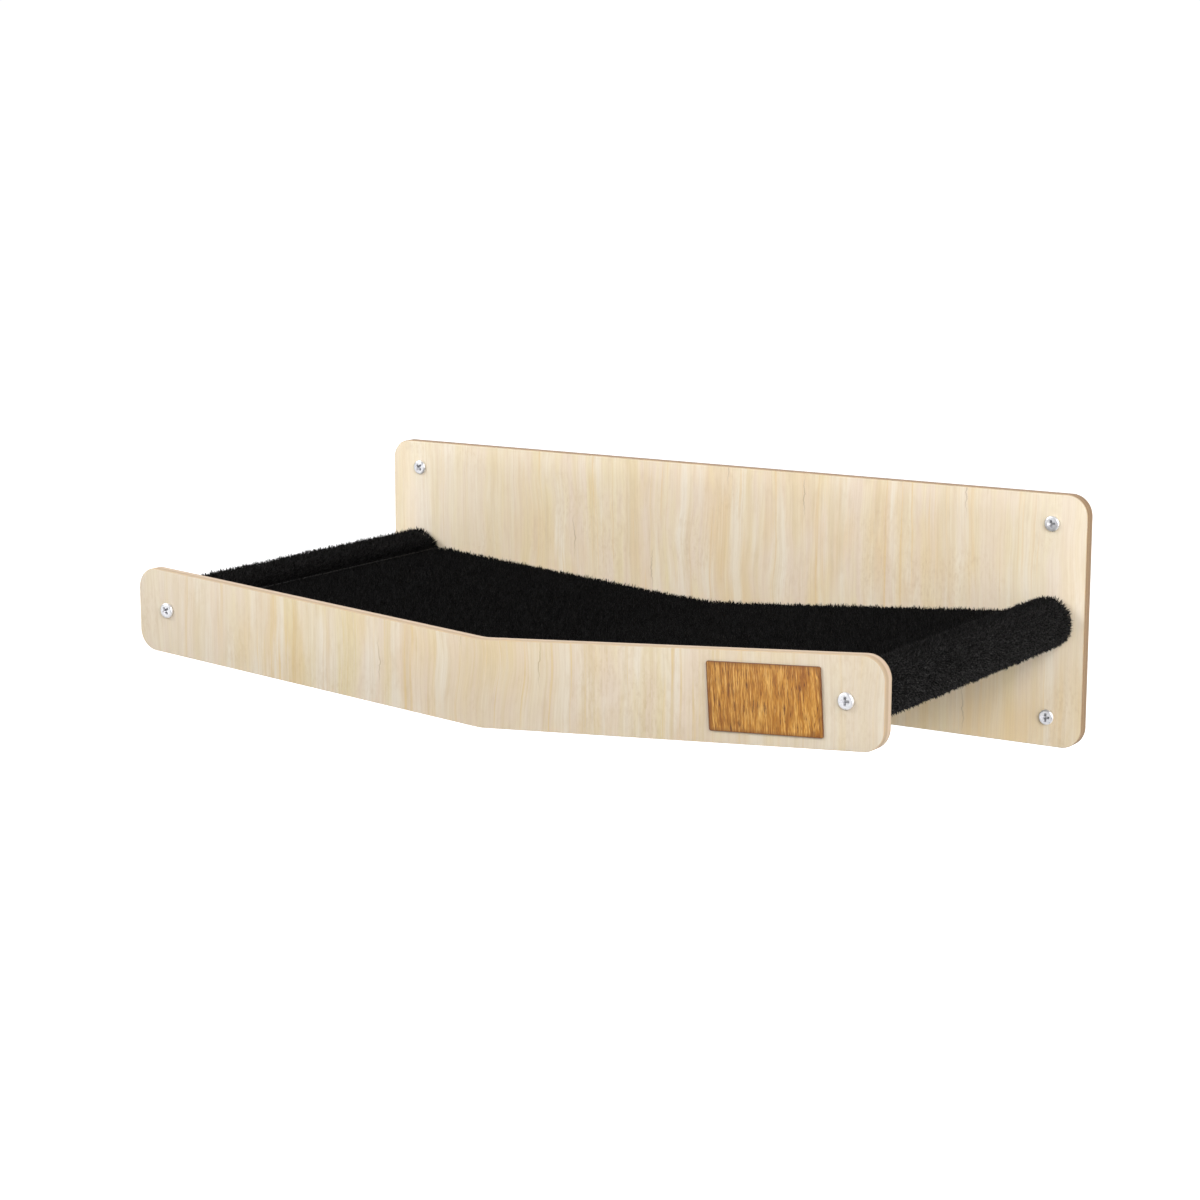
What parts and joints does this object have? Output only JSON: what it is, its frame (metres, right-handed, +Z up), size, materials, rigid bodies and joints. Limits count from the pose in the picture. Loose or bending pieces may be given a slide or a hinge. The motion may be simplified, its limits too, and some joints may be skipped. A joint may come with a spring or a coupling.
{
  "type": "wall-mounted cat hammock",
  "caption": "Wall-mounted cat hammock: a plush sling on two wooden rods between a back panel that screws to the wall and a lower V-shaped front panel.",
  "frame": {"origin": "middle of the back panel's rear face, on the wall's surface", "axes": "+X to the right as seen from the front, +Y into the wall, +Z up"},
  "size_m": [0.6, 0.3589, 0.18],
  "materials": {
    "board": "pale satin laminate with fine upright grain",
    "badge": "orange-brown veneer with upright grain, darker at its cut edge",
    "dowel": "plain turned wood",
    "plush": "short black pile",
    "screw": "bright zinc plate",
    "wall_plug": "matt grey nylon"
  },
  "bodies": {
    "root": {"back_panel": "board", "front_panel": "board", "badge_plate": "badge", "rod_left": "dowel", "rod_right": "dowel", "sling": "plush", "front_screw_left": "screw", "front_screw_right": "screw", "rear_screw_left": "screw", "rear_screw_right": "screw", "wall_screw_top_left": "screw", "wall_screw_top_right": "screw", "wall_screw_bottom_left": "screw", "wall_screw_bottom_right": "screw", "wall_plug_top_left": "wall_plug", "wall_plug_top_right": "wall_plug", "wall_plug_bottom_left": "wall_plug", "wall_plug_bottom_right": "wall_plug"}
  },
  "joints": []
}
